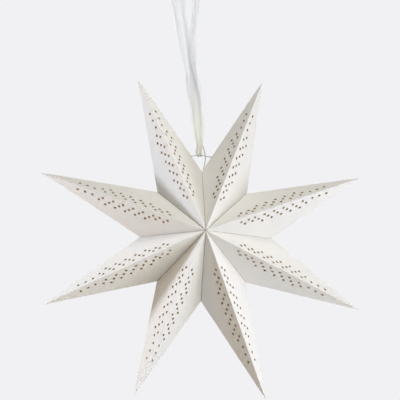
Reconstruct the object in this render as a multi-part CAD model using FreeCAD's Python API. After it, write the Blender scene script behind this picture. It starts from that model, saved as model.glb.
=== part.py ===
"""Folded card star with eight hollow rays, hung by a ribbon loop, with a small battery light on a cord inside.

Millimetres, +Z up. The origin is where a hook carries the ribbon loop. The star lies in the XZ plane and
faces -Y. It is made of eight creased card rays, glued to each other along their valleys. The top seam,
between ray 1 and ray 2, is held shut by a tie cord, and the ribbon is hitched to that cord.
"""

import FreeCAD, Part
import math
import os

from FreeCAD import Vector

# Star
ray_count = 8
tip_radius = 300.0
notch_radius = 113.0
apex_height = 84.0
card = 0.5
flange_width = 10.0

# Perforations: rows of holes beside each ridge, as (share of the tip radius from the tip, holes in the row)
hole_diameter = 3.5
hole_line_inset = 8.6
hole_line_gap = 6.1
hole_row_slant = 7.4
hole_row_shares = (
    (0.225, 1),
    (0.273, 1),
    (0.321, 1),
    (0.388, 2),
    (0.455, 3),
    (0.519, 3),
    (0.583, 3),
    (0.647, 3),
    (0.711, 3),
    (0.752, 2),
    (0.802, 2),
)

# Hanging: from the hook down to the middle of the star, and how far the middle hangs to the right
hang_drop = 468.0
hang_offset = 31.5

# Tie cord through the creases of rays 1 and 2, above the top notch
tie_height = 29.0
tie_cord_diameter = 2.5
tie_hole_diameter = 4.0
tie_knot_diameter = 6.0
tie_knot_inset = 9.0
tie_rise = 5.0

# Ribbon
ribbon_width = 32.0
ribbon_thickness = 0.6
ribbon_fold_depth = 1.6
ribbon_fold_count = 4
loop_radius = 18.5
strand_gap = 3.4
hitch_offset = -6.0
hitch_height = 9.0
hitch_width = 14.0
hitch_depth = 9.0
hitch_room = 0.4
turn_width = 9.0
soft_clearance = 0.3

# Lamp cord, and the inlet that it passes at the top notch
lamp_cord_diameter = 1.5
inlet_diameter = 3.5
cord_joint_gap = 0.1
crossing_gap = 1.8

# Lamp: a battery case with a cap above and an opal globe below
lamp_top = 58.0
case_radius = 16.0
case_wall = 1.5
cap_thickness = 2.5
cap_skirt = 9.0
cap_wall = 1.5
cap_clearance = 0.3
knot_room = 6.0
cord_knot_diameter = 4.8
cap_hole_diameter = 3.2
knot_seat_gap = 0.05
lug_width = 3.0
lug_height = 2.0
lug_depth = 1.0
lug_drop = 4.5
lug_count = 3
unlock_angle = 30.0
cell_diameter = 10.5
cell_length = 44.5
cell_nub_diameter = 3.8
cell_nub_height = 0.8
cell_spacing_radius = 7.1
cell_count = 3
spring_height = 3.0
spring_wire = 0.5
spring_turns = 4
plate_thickness = 0.4
strip_width = 3.0
carrier_end = 2.5
carrier_rib = 0.8
case_floor = 2.0
board_drop = 5.0
board_thickness = 1.6
board_radius = 13.8
led_size = 3.5
led_height = 1.6
led_circle_radius = 5.1
led_count = 5
base_height = 10.5
screw_diameter = 1.6
screw_head_diameter = 3.4
screw_head_height = 1.2
screw_radius = 9.5
boss_wall = 1.2
globe_radius = 20.0
globe_wall = 1.2
globe_neck = 3.5
switch_length = 8.6
switch_depth = 3.6
switch_height = 3.8
knob_length = 2.6
knob_height = 1.8
knob_proud = 1.4
knob_travel = 3.0
fit_clearance = 0.15
running_clearance = 0.25
overrun = 1.0

# Places worked out from the sizes
half_step = math.pi / ray_count
centre = Vector(hang_offset, 0, -hang_drop)
up = Vector(0, 0, 1)
right = Vector(1, 0, 0)
back = Vector(0, 1, 0)


def at(x, y, z):
    """A point given from the middle of the star."""
    return centre + Vector(x, y, z)


def save(shape, name):
    """Write one node and print its solids and volume."""
    shape.exportStep("parts/" + name + ".step")
    print(name, "solids", len(shape.Solids), "volume", round(shape.Volume, 2), "valid", shape.isValid())


def cylinder(radius, start, end):
    axis = end - start
    return Part.makeCylinder(radius, axis.Length, start, axis)


def ring(outer, inner, start, end):
    """A tube with open ends."""
    axis = (end - start).normalize() * overrun
    return cylinder(outer, start, end).cut(cylinder(inner, start - axis, end + axis))


def block(low, high):
    size = high - low
    return Part.makeBox(size.x, size.y, size.z, low)


def polyhedron(corners, faces):
    """A closed solid from its corner points and the corner names of each flat face."""
    sides = [Part.Face(Part.makePolygon([corners[n] for n in f] + [corners[f[0]]])) for f in faces]
    solid = Part.makeSolid(Part.makeShell(sides))
    if solid.Volume < 0:
        solid.reverse()
    return solid


def plane_through(a, b, c, inside):
    """The plane of three points as (outward normal, distance), with the point inside behind it."""
    normal = (b - a).cross(c - a).normalize()
    if normal.dot(inside - a) > 0:
        normal = normal * -1
    return normal, normal.dot(a)


def meet(p, q, r):
    """The point that three planes share."""
    qr = q[0].cross(r[0])
    rp = r[0].cross(p[0])
    pq = p[0].cross(q[0])
    return (qr * p[1] + rp * q[1] + pq * r[1]) * (1 / p[0].dot(qr))


# Rays
# Each ray is drawn along +X about the middle of the star, with its front ridge towards -Y,
# and then turned about Y to its place. Left is +Z before the turn.

RAY_FACES = (
    ("tip", "front", "left"),
    ("tip", "left", "rear"),
    ("tip", "right", "front"),
    ("tip", "rear", "right"),
    ("front", "rear", "left"),
    ("front", "right", "rear"),
)


def ray_corners():
    across = notch_radius * math.sin(half_step)
    along = notch_radius * math.cos(half_step)
    return {
        "tip": Vector(tip_radius, 0, 0),
        "front": Vector(0, -apex_height, 0),
        "rear": Vector(0, apex_height, 0),
        "left": Vector(along, 0, across),
        "right": Vector(along, 0, -across),
    }


def inner_corners(c):
    """The corners of the hollow: every face moved inwards by the card's thickness."""
    inside = (c["tip"] + c["left"] + c["right"]) * (1 / 3)
    planes = {}
    for face in RAY_FACES:
        normal, distance = plane_through(c[face[0]], c[face[1]], c[face[2]], inside)
        planes[face] = (normal, distance - card)
    fl, bl, fr, br, wl, wr = (planes[f] for f in RAY_FACES)
    return {
        "tip": meet(fl, fr, bl),
        "front": meet(fl, fr, wl),
        "rear": meet(bl, br, wl),
        "left": meet(fl, bl, wl),
        "right": meet(fr, br, wr),
    }


def flange_window(side):
    """What is cut out of one glued side, so that only a flange is left along its valley edges."""
    slope = math.atan2(apex_height, notch_radius)
    reach = notch_radius - flange_width / math.sin(slope)
    height = apex_height - flange_width / math.cos(slope)
    out = Vector(math.cos(half_step), 0, side * math.sin(half_step))
    normal = Vector(-math.sin(half_step), 0, side * math.cos(half_step))
    start = normal * overrun
    points = [back * -height + start, out * reach + start, back * height + start]
    face = Part.Face(Part.makePolygon(points + [points[0]]))
    return face.extrude(normal * -(card + 2 * overrun))


def facet_holes(tip, apex, notch):
    """The holes of one facet, in rows beside the ridge that runs from the tip to the apex."""
    ridge = (apex - tip).normalize()
    edge = notch - tip
    across = (edge - ridge * edge.dot(ridge)).normalize()
    normal = ridge.cross(across)
    holes = []
    for share, count in hole_row_shares:
        for line in range(count):
            along = share * tip_radius - line * hole_row_slant
            place = tip + ridge * along + across * (hole_line_inset + line * hole_line_gap)
            reach = normal * (card + overrun)
            holes.append(cylinder(hole_diameter / 2, place - reach, place + reach))
    return holes


def make_ray():
    corners = ray_corners()
    shell = polyhedron(corners, RAY_FACES).cut(polyhedron(inner_corners(corners), RAY_FACES))
    for side in (1, -1):
        shell = shell.cut(flange_window(side))
    holes = []
    for apex in ("front", "rear"):
        for notch in ("left", "right"):
            holes += facet_holes(corners["tip"], corners[apex], corners[notch])
    return shell.cut(Part.makeCompound(holes))


def ray_angle(index):
    """Degrees from +X towards +Z. Rays 1 and 2 stand on either side of the top notch."""
    return 90 + math.degrees(half_step) * (1 - 2 * index)


def crease_offset(height):
    """How far the creases of rays 1 and 2 lie from the middle, at a height above the top notch."""
    rise = tip_radius * math.cos(half_step) - notch_radius
    return tip_radius * math.sin(half_step) * height / rise


def tie_hole(side):
    """The punched hole through one ray's crease, where the tie cord goes in."""
    level = notch_radius + tie_height
    edge = crease_offset(tie_height)
    inner = at(side * (edge + tie_knot_inset), 0, level)
    outer = at(side * (edge - tie_hole_diameter), 0, level)
    return cylinder(tie_hole_diameter / 2, inner, outer)


def cord_inlet():
    """The hole down through the top notch, deep enough for the cord to swing under the flanges."""
    slope = math.atan2(apex_height, notch_radius)
    depth = flange_width / math.sin(slope) + inlet_diameter / math.tan(slope)
    low = at(0, 0, notch_radius - depth)
    high = at(0, 0, notch_radius + overrun + inlet_diameter)
    return cylinder(inlet_diameter / 2, low, high)


def rays():
    shape = make_ray()
    made = []
    for index in range(ray_count):
        ray = shape.copy()
        ray.rotate(Vector(0, 0, 0), back, -ray_angle(index))
        ray.translate(centre)
        if index < 2:
            ray = ray.cut(cord_inlet()).cut(tie_hole(2 * index - 1))
        made.append(("ray_" + str(index + 1), ray))
    return made


# Cords


def cord_tube(points, diameter, name):
    """A round cord along straight runs joined by tangent arcs, each as large as its runs allow."""
    edges = []
    last = points[0]
    radii = []
    for a, b, c in zip(points, points[1:], points[2:]):
        into = (b - a).normalize()
        out = (c - b).normalize()
        turn = math.acos(max(-1, min(1, into.dot(out))))
        cut_back = 0.45 * min((b - a).Length, (c - b).Length)
        radius = cut_back / math.tan(turn / 2)
        bend = (out - into).normalize()
        middle = b + bend * (radius / math.cos(turn / 2) - radius)
        start = b - into * cut_back
        end = b + out * cut_back
        edges.append(Part.LineSegment(last, start).toShape())
        edges.append(Part.Arc(start, middle, end).toShape())
        radii.append(round(radius, 1))
        last = end
    edges.append(Part.LineSegment(last, points[-1]).toShape())
    path = Part.Wire(edges)
    circle = Part.Circle(points[0], points[1] - points[0], diameter / 2).toShape()
    tube = path.makePipeShell([Part.Wire([circle])], True, False)
    share = tube.Volume / (math.pi * diameter**2 / 4 * path.Length)
    print(name, "length", round(path.Length, 1), "radii", radii, "volume share", round(share, 4))
    return tube


def tie_cord_points():
    """From the knot in ray 1, over the hitch, to the knot in ray 2."""
    level = notch_radius + tie_height
    edge = crease_offset(tie_height)
    return [
        at(-edge - 7.0, 0, level),
        at(-edge + 1.5, 0, level + 0.3),
        at(hitch_offset - 4.0, 0, level + tie_rise - 0.6),
        at(hitch_offset + 4.0, 0, level + tie_rise - 0.6),
        at(edge - 8.5, 0, level + 0.5),
        at(edge, 0, level),
        at(edge + 7.0, 0, level - 0.2),
    ]


def tie_cord():
    points = tie_cord_points()
    cord = cord_tube(points, tie_cord_diameter, "tie_cord")
    for end in (points[0], points[-1]):
        cord = cord.fuse(Part.makeSphere(tie_knot_diameter / 2, end))
    return cord.removeSplitter()


def lamp_cord_top_points():
    """From the fold behind the ribbon down to the tie cord."""
    return [
        at(-3.0, 3.95, 177.0),
        at(-0.6, 4.5, 168.0),
        at(2.2, 4.8, 158.5),
        at(4.5, 4.5, 150.0),
        at(5.5, 3.7, 143.9),
    ]


def lamp_cord_outer_points():
    """From the tie cord down through the inlet at the top notch, to just under the flanges' upper ends."""
    return [
        at(5.6, 3.4, 143.9 - crossing_gap),
        at(4.9, 2.6, 134.0),
        at(2.9, 1.3, 124.0),
        at(0.5, 0.1, 114.5),
        at(0, 0, 104.6),
        at(0, 0, 94.6),
    ]


def cord_knot_place():
    """The middle of the stopper knot, seated in the mouth of the cap's hole."""
    sink = math.sqrt(cord_knot_diameter**2 - cap_hole_diameter**2) / 2
    return at(0, 0, lamp_top - cap_thickness - sink - knot_seat_gap)


def lamp_cord_inner():
    """From the inlet down to the stopper knot under the lamp's cap."""
    knot = cord_knot_place()
    start = lamp_cord_outer_points()[-1] - up * cord_joint_gap
    cord = cylinder(lamp_cord_diameter / 2, knot, start)
    return cord.fuse(Part.makeSphere(cord_knot_diameter / 2, knot))


# Ribbon
# Each strand follows (share of the way up, sideways bow as a share of the loop radius, width as a share
# of the ribbon's width). The loop over the hook is drawn in narrower.

front_strand_shares = (
    (0.05, 0.04, 0.44),
    (0.12, 0.12, 0.55),
    (0.21, 0.27, 0.70),
    (0.31, 0.38, 0.80),
    (0.40, 0.33, 0.82),
    (0.50, 0.26, 0.74),
    (0.60, 0.14, 0.70),
    (0.70, 0.05, 0.73),
    (0.80, -0.04, 0.75),
    (0.90, 0.02, 0.84),
    (0.96, 0.02, 0.74),
)
rear_strand_shares = (
    (0.96, 0.00, 0.44),
    (0.88, -0.02, 0.44),
    (0.78, -0.16, 0.45),
    (0.66, -0.22, 0.52),
    (0.54, -0.30, 0.60),
    (0.42, -0.34, 0.66),
    (0.30, -0.24, 0.66),
    (0.18, -0.10, 0.58),
    (0.08, -0.04, 0.46),
)
loop_width_share = 0.42
merge_share = 0.12


def ribbon_section(place, along, across, width):
    """One closed cross-section: a folded strip, with its folds side by side across the ribbon."""
    across = across.normalize()
    face = along.cross(across).normalize()
    upper = []
    lower = []
    for i in range(ribbon_fold_count + 1):
        side = across * (width * (i / ribbon_fold_count - 1 / 2))
        fold = ribbon_fold_depth / 2 * (-1) ** i
        upper.append(place + side + face * (fold + ribbon_thickness / 2))
        lower.append(place + side + face * (fold - ribbon_thickness / 2))
    points = upper + lower[::-1]
    return Part.makePolygon(points + [points[0]])


def hitch_place():
    """Where the ribbon's strands leave the hitch above the tie cord."""
    level = notch_radius + tie_height + tie_rise + tie_cord_diameter / 2
    return at(hitch_offset, 0, level + soft_clearance + hitch_height / 2)


def strand_stations(shares, shoulder, depth):
    """Section places up one strand, from the hitch to the loop's shoulder."""
    start = hitch_place()
    stations = []
    for up_share, bow_share, width_share in shares:
        place = start + (shoulder - start) * up_share + right * (bow_share * loop_radius)
        place = place + back * (depth * min(1, (1 - up_share) / merge_share))
        stations.append((place, shoulder - start, width_share))
    return stations


def ribbon_sections():
    middle = Vector(0, 0, -loop_radius)
    half = strand_gap / 2
    left = middle - right * loop_radius
    other = middle + right * loop_radius
    rise = ribbon_thickness / 2 + ribbon_fold_depth / 2
    sections = []
    start = hitch_place()
    for place, along, share in strand_stations(front_strand_shares, left, -half):
        sections.append((place, along, right * -1, ribbon_width * share))
    for degrees in range(0, 181, 20):
        angle = math.radians(degrees)
        out = Vector(-math.cos(angle), 0, math.sin(angle))
        along = Vector(math.sin(angle), 0, math.cos(angle))
        turn = math.pi / 2 * math.sin(angle)
        across = out * math.cos(turn) + back * math.sin(turn)
        place = middle + out * (loop_radius + rise * math.sin(angle))
        sections.append((place, along, across, ribbon_width * loop_width_share))
    for place, along, share in strand_stations(rear_strand_shares, other, half):
        sections.append((place, along * -1, right, ribbon_width * share))
    sections += hitch_turn(start)
    return sections


def hitch_turn(start):
    """The strip behind, under and in front of the tie cord."""
    middle = at(hitch_offset, 0, notch_radius + tie_height + tie_rise - tie_cord_diameter / 2)
    reach = tie_cord_diameter / 2 + hitch_room + (ribbon_fold_depth + ribbon_thickness) / 2
    width = turn_width
    sections = [(start + back * reach, up * -1, right, width)]
    for degrees in range(0, 181, 30):
        angle = math.radians(degrees)
        out = back * math.cos(angle) - up * math.sin(angle)
        along = back * -math.sin(angle) - up * math.cos(angle)
        sections.append((middle + out * reach, along, right, width))
    sections.append((start - back * reach, up, right, width))
    return sections


def ribbon():
    strip = Part.makeLoft([ribbon_section(*s) for s in ribbon_sections()], True, True)
    size = Vector(hitch_width / 2, hitch_depth / 2, hitch_height / 2)
    wrap = block(hitch_place() - size, hitch_place() + size)
    wrap = wrap.makeFillet(hitch_height * 0.3, wrap.Edges)
    return strip.fuse(wrap)


# Lamp
# Levels are measured down from the lamp's top along its own axis, which is the middle of the star.


def down(level):
    """A point on the lamp's axis, at a depth below the lamp's top."""
    return at(0, 0, lamp_top - level)


carrier_top = cap_thickness + knot_room
carrier_inside = cell_length + spring_height + 2 * plate_thickness
carrier_length = carrier_inside + 2 * carrier_end
floor_level = carrier_top + carrier_length + fit_clearance
base_level = floor_level + case_floor
board_level = base_level + board_drop
case_end = base_level + base_height
case_bore = case_radius - case_wall
carrier_radius = case_bore - running_clearance
lug_level = lug_drop + cap_thickness
groove_level = lug_level - running_clearance


def polar(radius, degrees, level):
    """A point about the lamp's axis: degrees from +X towards +Y."""
    angle = math.radians(degrees)
    return down(level) + Vector(radius * math.cos(angle), radius * math.sin(angle), 0)


def arc_block(inner, outer, start_angle, sweep, top, bottom):
    """A piece of a tube about the lamp's axis, from one angle on through a sweep."""
    outline = ((inner, top), (outer, top), (outer, bottom), (inner, bottom), (inner, top))
    points = [polar(radius, start_angle, level) for radius, level in outline]
    return Part.Face(Part.makePolygon(points)).revolve(down(0), up, sweep)


def lug_angles():
    return [360 / lug_count * i + 90 for i in range(lug_count)]


def lamp_cap():
    """The cap that the cord holds. Its lugs carry the case."""
    outer = case_radius + cap_clearance + cap_wall
    cap = cylinder(outer, down(cap_thickness), down(0))
    cap = cap.makeChamfer(cap_wall / 2, [cap.Edges[0]])
    cap = cap.fuse(ring(outer, case_radius + cap_clearance, down(cap_skirt), down(cap_thickness)))
    cap = cap.cut(cylinder(cap_hole_diameter / 2, down(cap_thickness + overrun), down(-overrun)))
    half = math.degrees(lug_width / 2 / case_radius)
    inner = case_radius - lug_depth
    for angle in lug_angles():
        lug = arc_block(inner, outer - cap_wall / 2, angle - half, 2 * half, lug_level, lug_level + lug_height)
        cap = cap.fuse(lug)
    return cap.removeSplitter()


def case_slots():
    """The L-shaped slots: down from the rim, then round to where the lug rests."""
    half = math.degrees((lug_width / 2 + running_clearance) / case_radius)
    inner = case_bore + case_wall / 5
    outer = case_radius + overrun
    bottom = lug_level + lug_height + running_clearance
    slots = []
    for angle in lug_angles():
        start = angle - half - unlock_angle
        slots.append(arc_block(inner, outer, start, unlock_angle + 2 * half, groove_level, bottom))
        slots.append(arc_block(inner, outer, start, 2 * half, 0, bottom))
    return slots


def board_screw_places():
    return [polar(screw_radius, angle, base_level) for angle in (0, 180)]


def battery_case():
    top = cap_thickness + running_clearance
    case = ring(case_radius, case_bore, down(case_end), down(top))
    case = case.fuse(cylinder(case_bore + case_wall / 2, down(base_level), down(floor_level)))
    for slot in case_slots():
        case = case.cut(slot)
    for place in board_screw_places():
        boss_end = place - up * (board_drop - fit_clearance)
        case = case.fuse(cylinder(screw_diameter / 2 + boss_wall, boss_end, place + up * case_floor / 2))
        case = case.cut(cylinder(screw_diameter / 2 + fit_clearance / 3, boss_end - up * overrun, place))
    for foot, head in pin_ends():
        case = case.cut(cylinder(pin_radius + fit_clearance, foot, head))
    return case.cut(switch_window()).removeSplitter()


def cell_angles():
    return [360 / cell_count * i - 90 for i in range(cell_count)]


pin_radius = screw_diameter / 2
spine_radius = cell_spacing_radius - cell_diameter / 2 - 2 * fit_clearance
plate_half_width = cell_spacing_radius * math.cos(math.pi / cell_count) - spine_radius - fit_clearance
strip_radius = cell_spacing_radius + cell_diameter / 2 + 2 * fit_clearance
strip_end = carrier_top + carrier_length - carrier_end / 2


def pin_ends():
    """The feet and heads of the pins: one under the first cell, one under the last cell's return strip."""
    first, last = cell_angles()[0], cell_angles()[-1]
    under_cell = carrier_top + carrier_length - carrier_end
    strip_middle = strip_radius + plate_thickness / 2
    return [
        (polar(cell_spacing_radius, first, board_level), polar(cell_spacing_radius, first, under_cell)),
        (polar(strip_middle, last, board_level), polar(strip_middle, last, strip_end)),
    ]


def contact_pins():
    """The pins that pass the case's floor, from the carrier's terminals to the board."""
    return Part.makeCompound([cylinder(pin_radius, foot, head) for foot, head in pin_ends()])


def return_strip(gap):
    """The strip down the outside of the last cell, or with a gap the room that it needs."""
    last = cell_angles()[-1]
    half = math.degrees((strip_width / 2 + gap) / strip_radius)
    top = carrier_top + carrier_end
    inner, outer = strip_radius - gap, strip_radius + plate_thickness + gap
    return arc_block(inner, outer, last - half, 2 * half, top, strip_end + gap)


def battery_carrier():
    """Two end discs joined by a spine with ribs between the cells."""
    bottom = carrier_top + carrier_length
    carrier = cylinder(carrier_radius, down(carrier_top + carrier_end), down(carrier_top))
    carrier = carrier.fuse(cylinder(carrier_radius, down(bottom), down(bottom - carrier_end)))
    carrier = carrier.fuse(cylinder(spine_radius, down(bottom), down(carrier_top)))
    rib_end = carrier_end + plate_thickness + fit_clearance
    for angle in cell_angles():
        rib = block(
            Vector(0, -carrier_rib / 2, -(bottom - rib_end)) + down(0),
            Vector(carrier_radius - cell_diameter / 4, carrier_rib / 2, -(carrier_top + rib_end)) + down(0),
        )
        rib.rotate(down(0), up, angle + 180 / cell_count)
        carrier = carrier.fuse(rib)
    for foot, head in pin_ends():
        carrier = carrier.cut(cylinder(pin_radius + fit_clearance, foot, head))
    return carrier.cut(return_strip(fit_clearance)).removeSplitter()


def cell_faces_up(index):
    """Whether a cell's nub points up: they alternate, as in any series holder."""
    return index % 2 == 0


def batteries():
    cells = []
    for index, angle in enumerate(cell_angles()):
        low, high = cell_levels(index)
        foot = polar(cell_spacing_radius, angle, low)
        head = polar(cell_spacing_radius, angle, high)
        axis = (head - foot).normalize()
        body = cylinder(cell_diameter / 2, foot, head - axis * cell_nub_height)
        nub = cylinder(cell_nub_diameter / 2, head - axis * cell_nub_height, head)
        cells.append(body.fuse(nub))
    return Part.makeCompound(cells)


def cell_levels(index):
    """The levels of a cell's flat end and of its nub."""
    top = carrier_top + carrier_end + plate_thickness
    bottom = carrier_top + carrier_length - carrier_end - plate_thickness
    if cell_faces_up(index):
        return bottom - spring_height, top
    return top + spring_height, bottom


def contact_springs():
    """A small coil spring under each cell's flat end."""
    springs = []
    for index, angle in enumerate(cell_angles()):
        flat_end = cell_levels(index)[0]
        lift = 1 if cell_faces_up(index) else -1
        base = polar(cell_spacing_radius, angle, flat_end + lift * spring_height)
        coil_radius = cell_diameter / 4
        climb = spring_height - spring_wire
        helix = Part.makeLongHelix(climb / spring_turns, climb, coil_radius, 0)
        start = Vector(coil_radius, 0, 0)
        circle = Part.Wire([Part.Circle(start, back, spring_wire / 2).toShape()])
        spring = helix.makePipeShell([circle], True, True)
        spring.translate(up * (spring_wire / 2))
        if lift < 0:
            spring.rotate(Vector(0, 0, 0), right, 180)
        spring.translate(base)
        springs.append(spring)
    return Part.makeCompound(springs)


def contact_plate(first, last, level):
    """A flat strip from one cell's axis to another's, rounded at both ends."""
    a = polar(cell_spacing_radius, first, level)
    b = polar(cell_spacing_radius, last, level)
    thick = up * plate_thickness
    plate = cylinder(plate_half_width, a, a + thick)
    if first != last:
        side = (b - a).normalize().cross(up) * plate_half_width
        corners = [a + side, b + side, b - side, a - side]
        strip = Part.Face(Part.makePolygon(corners + [corners[0]])).extrude(thick)
        plate = plate.fuse(strip).fuse(cylinder(plate_half_width, b, b + thick))
    return plate.removeSplitter()


def contact_plates():
    """The cells in series: two end plates, and a bridge from each cell to the next."""
    angles = cell_angles()
    top = carrier_top + carrier_end + plate_thickness
    bottom = carrier_top + carrier_length - carrier_end
    plates = [contact_plate(angles[0], angles[0], bottom)]
    for index in range(cell_count - 1):
        level = top if cell_faces_up(index) else bottom
        plates.append(contact_plate(angles[index], angles[index + 1], level))
    half = math.degrees(strip_width / 2 / strip_radius)
    reach = strip_radius + plate_thickness
    tab = arc_block(cell_spacing_radius, reach, angles[-1] - half, 2 * half, top, top - plate_thickness)
    end = contact_plate(angles[-1], angles[-1], top).fuse(tab).fuse(return_strip(0))
    return Part.makeCompound(plates + [end.removeSplitter()])


def circuit_board():
    board = cylinder(board_radius, down(board_level + board_thickness), down(board_level))
    for place in board_screw_places():
        low = place - up * (board_drop + board_thickness + overrun)
        board = board.cut(cylinder(screw_diameter / 2 + fit_clearance, low, place))
    return board


def board_screws():
    screws = []
    for place in board_screw_places():
        seat = place - up * (board_drop + board_thickness)
        head = cylinder(screw_head_diameter / 2, seat - up * screw_head_height, seat)
        shank = cylinder(screw_diameter / 2, seat, place - up * overrun)
        screws.append(head.fuse(shank))
    return Part.makeCompound(screws)


def leds():
    """Light chips under the board: one in the middle and the rest on a circle."""
    level = board_level + board_thickness
    places = [down(level)]
    places += [polar(led_circle_radius, 360 / led_count * i + 90, level) for i in range(led_count)]
    half = led_size / 2
    chips = [block(p + Vector(-half, -half, -led_height), p + Vector(half, half, 0)) for p in places]
    return Part.makeCompound(chips)


def globe():
    """The opal globe: a neck that fits in the case, and a hollow ball."""
    neck_radius = case_bore - fit_clearance
    seat = case_end - globe_neck
    centre_level = case_end + math.sqrt(globe_radius**2 - case_radius**2)
    middle = down(centre_level)
    ball = Part.makeSphere(globe_radius, middle).cut(Part.makeSphere(globe_radius - globe_wall, middle))
    keep = cylinder(globe_radius + overrun, middle - up * (globe_radius + overrun), down(case_end))
    neck = ring(neck_radius, neck_radius - globe_wall, down(case_end + globe_wall * 2), down(seat))
    rim = ring(case_radius, neck_radius - globe_wall, down(case_end + globe_wall), down(case_end))
    body = ball.common(keep).fuse(rim).fuse(neck)
    return body.removeSplitter()


def switch_place():
    """The middle of the switch, on the board's upper face at the back of the case."""
    return down(board_level) + back * (case_bore - running_clearance * 3 - switch_depth / 2 - fit_clearance)


def switch_window():
    """The slot in the case's wall for the knob."""
    place = switch_place() + up * switch_height / 2
    half = (knob_length + knob_travel) / 2 + running_clearance
    tall = knob_height / 2 + running_clearance
    low = place + Vector(-half, switch_depth / 2, -tall)
    high = place + Vector(half, case_radius, tall)
    return block(low, high)


def slide_switch():
    """The switch's own housing, with the slot that the knob slides in."""
    place = switch_place()
    body = block(
        place + Vector(-switch_length / 2, -switch_depth / 2, 0),
        place + Vector(switch_length / 2, switch_depth / 2, switch_height),
    )
    half = (knob_length + knob_travel) / 2 + running_clearance
    tall = knob_height / 2 + running_clearance
    slot = block(
        place + Vector(-half, 0, switch_height / 2 - tall),
        place + Vector(half, switch_depth, switch_height / 2 + tall),
    )
    return body.cut(slot)


def switch_knob():
    """The knob, at the off end of its travel."""
    place = switch_place() + up * switch_height / 2 - right * knob_travel / 2
    reach = case_radius + knob_proud - (switch_place() - down(board_level)).y
    low = place + Vector(-knob_length / 2, running_clearance, -knob_height / 2)
    high = place + Vector(knob_length / 2, reach, knob_height / 2)
    return block(low, high)


def main():
    os.makedirs("parts", exist_ok=True)
    nodes = rays()
    nodes += [
        ("tie_cord", tie_cord()),
        ("hanging_ribbon", ribbon()),
        ("lamp_cord_top", cord_tube(lamp_cord_top_points(), lamp_cord_diameter, "lamp_cord_top")),
        ("lamp_cord_outer", cord_tube(lamp_cord_outer_points(), lamp_cord_diameter, "lamp_cord_outer")),
        ("lamp_cord_inner", lamp_cord_inner()),
        ("lamp_cap", lamp_cap()),
        ("battery_case", battery_case()),
        ("battery_carrier", battery_carrier()),
        ("batteries", batteries()),
        ("contact_springs", contact_springs()),
        ("contact_plates", contact_plates()),
        ("contact_pins", contact_pins()),
        ("circuit_board", circuit_board()),
        ("board_screws", board_screws()),
        ("leds", leds()),
        ("globe", globe()),
        ("slide_switch", slide_switch()),
        ("switch_knob", switch_knob()),
    ]
    for name, shape in nodes:
        save(shape, name)


main()
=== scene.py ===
# %% [markdown]
# # A folded card star on a ribbon
#
# The object is a star lantern: eight hollow rays of creased white card, glued to each other along their
# valleys and punched with small holes, so that a lamp inside shines through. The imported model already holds
# every piece at its real size and place. This script keeps that frame and dresses it: the card gets its
# folds, holes and paper grain, the ribbon becomes gauzy cloth, and the cords get their twist.

# %% Load the frame
import random
from math import atan2, ceil, cos, pi, radians, sin, tau

import bpy
from mathutils import Matrix, Vector, noise


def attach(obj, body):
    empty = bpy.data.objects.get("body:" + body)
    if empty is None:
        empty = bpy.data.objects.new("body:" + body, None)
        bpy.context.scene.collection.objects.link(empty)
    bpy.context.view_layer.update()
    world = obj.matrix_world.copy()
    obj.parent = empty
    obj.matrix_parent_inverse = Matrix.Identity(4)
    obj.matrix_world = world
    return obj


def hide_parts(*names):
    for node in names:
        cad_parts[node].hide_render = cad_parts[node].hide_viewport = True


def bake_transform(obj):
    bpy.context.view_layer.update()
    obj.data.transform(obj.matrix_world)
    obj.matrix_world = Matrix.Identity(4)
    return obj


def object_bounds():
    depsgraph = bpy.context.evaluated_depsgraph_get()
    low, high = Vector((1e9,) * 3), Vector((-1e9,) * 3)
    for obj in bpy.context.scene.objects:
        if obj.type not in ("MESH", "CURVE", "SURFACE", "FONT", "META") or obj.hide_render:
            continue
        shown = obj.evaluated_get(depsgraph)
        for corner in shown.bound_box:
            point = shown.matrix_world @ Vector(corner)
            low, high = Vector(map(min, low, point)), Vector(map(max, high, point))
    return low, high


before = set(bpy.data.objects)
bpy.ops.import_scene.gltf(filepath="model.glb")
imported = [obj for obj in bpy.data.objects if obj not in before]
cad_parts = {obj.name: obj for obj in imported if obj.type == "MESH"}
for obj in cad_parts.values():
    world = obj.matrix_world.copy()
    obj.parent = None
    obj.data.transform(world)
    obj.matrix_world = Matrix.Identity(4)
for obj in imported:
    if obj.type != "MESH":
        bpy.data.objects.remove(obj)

mm = 0.001
cad_low, cad_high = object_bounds()
print("packed model from", tuple(cad_low), "to", tuple(cad_high))

# %% [markdown]
# ## Where things are
#
# The origin is the hook that carries the ribbon. The star hangs below it in the XZ plane and faces -Y. All
# of its corners follow from three sizes: how far the tips and the notches are from the middle, and how far
# the middle stands out. Ray 1 is the upper left one, and the rest follow clockwise, with notch 1 at the top
# between ray 1 and ray 2.

# %% The star's driving sizes
star_middle = Vector((31.5, 0, -468)) * mm
ray_count = 8
tip_radius = 300 * mm
notch_radius = 113 * mm
apex_height = 84 * mm
card = 0.5 * mm
flange_width = 10 * mm

# %% Helpers for objects
def placed(name, data):
    """A new object of the scene, with its data."""
    made = bpy.data.objects.new(name, data)
    bpy.context.collection.objects.link(made)
    return made


def new_mesh(name, vertices, edges=(), faces=()):
    """A mesh from plain lists."""
    mesh = bpy.data.meshes.new(name)
    mesh.from_pydata(vertices, edges, faces)
    return mesh


# %% [markdown]
# ## The camera
#
# The photograph was taken from a little below the star and a little to its left, with a long lens. The place
# and the turn of the camera were worked out from the corners and holes of the star, which are known points.
# `look_along` builds the camera's axes from the direction it looks in and the direction that is up.

# %% Camera
camera_place = star_middle + Vector((-181.8, -2478.4, -280.5)) * mm
camera_forward = Vector((0.0709, 0.9879, 0.1378))
camera_up = Vector((-0.0167, -0.137, 0.9904))
camera_lens = 128.07
camera_sensor = 36.0


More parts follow.
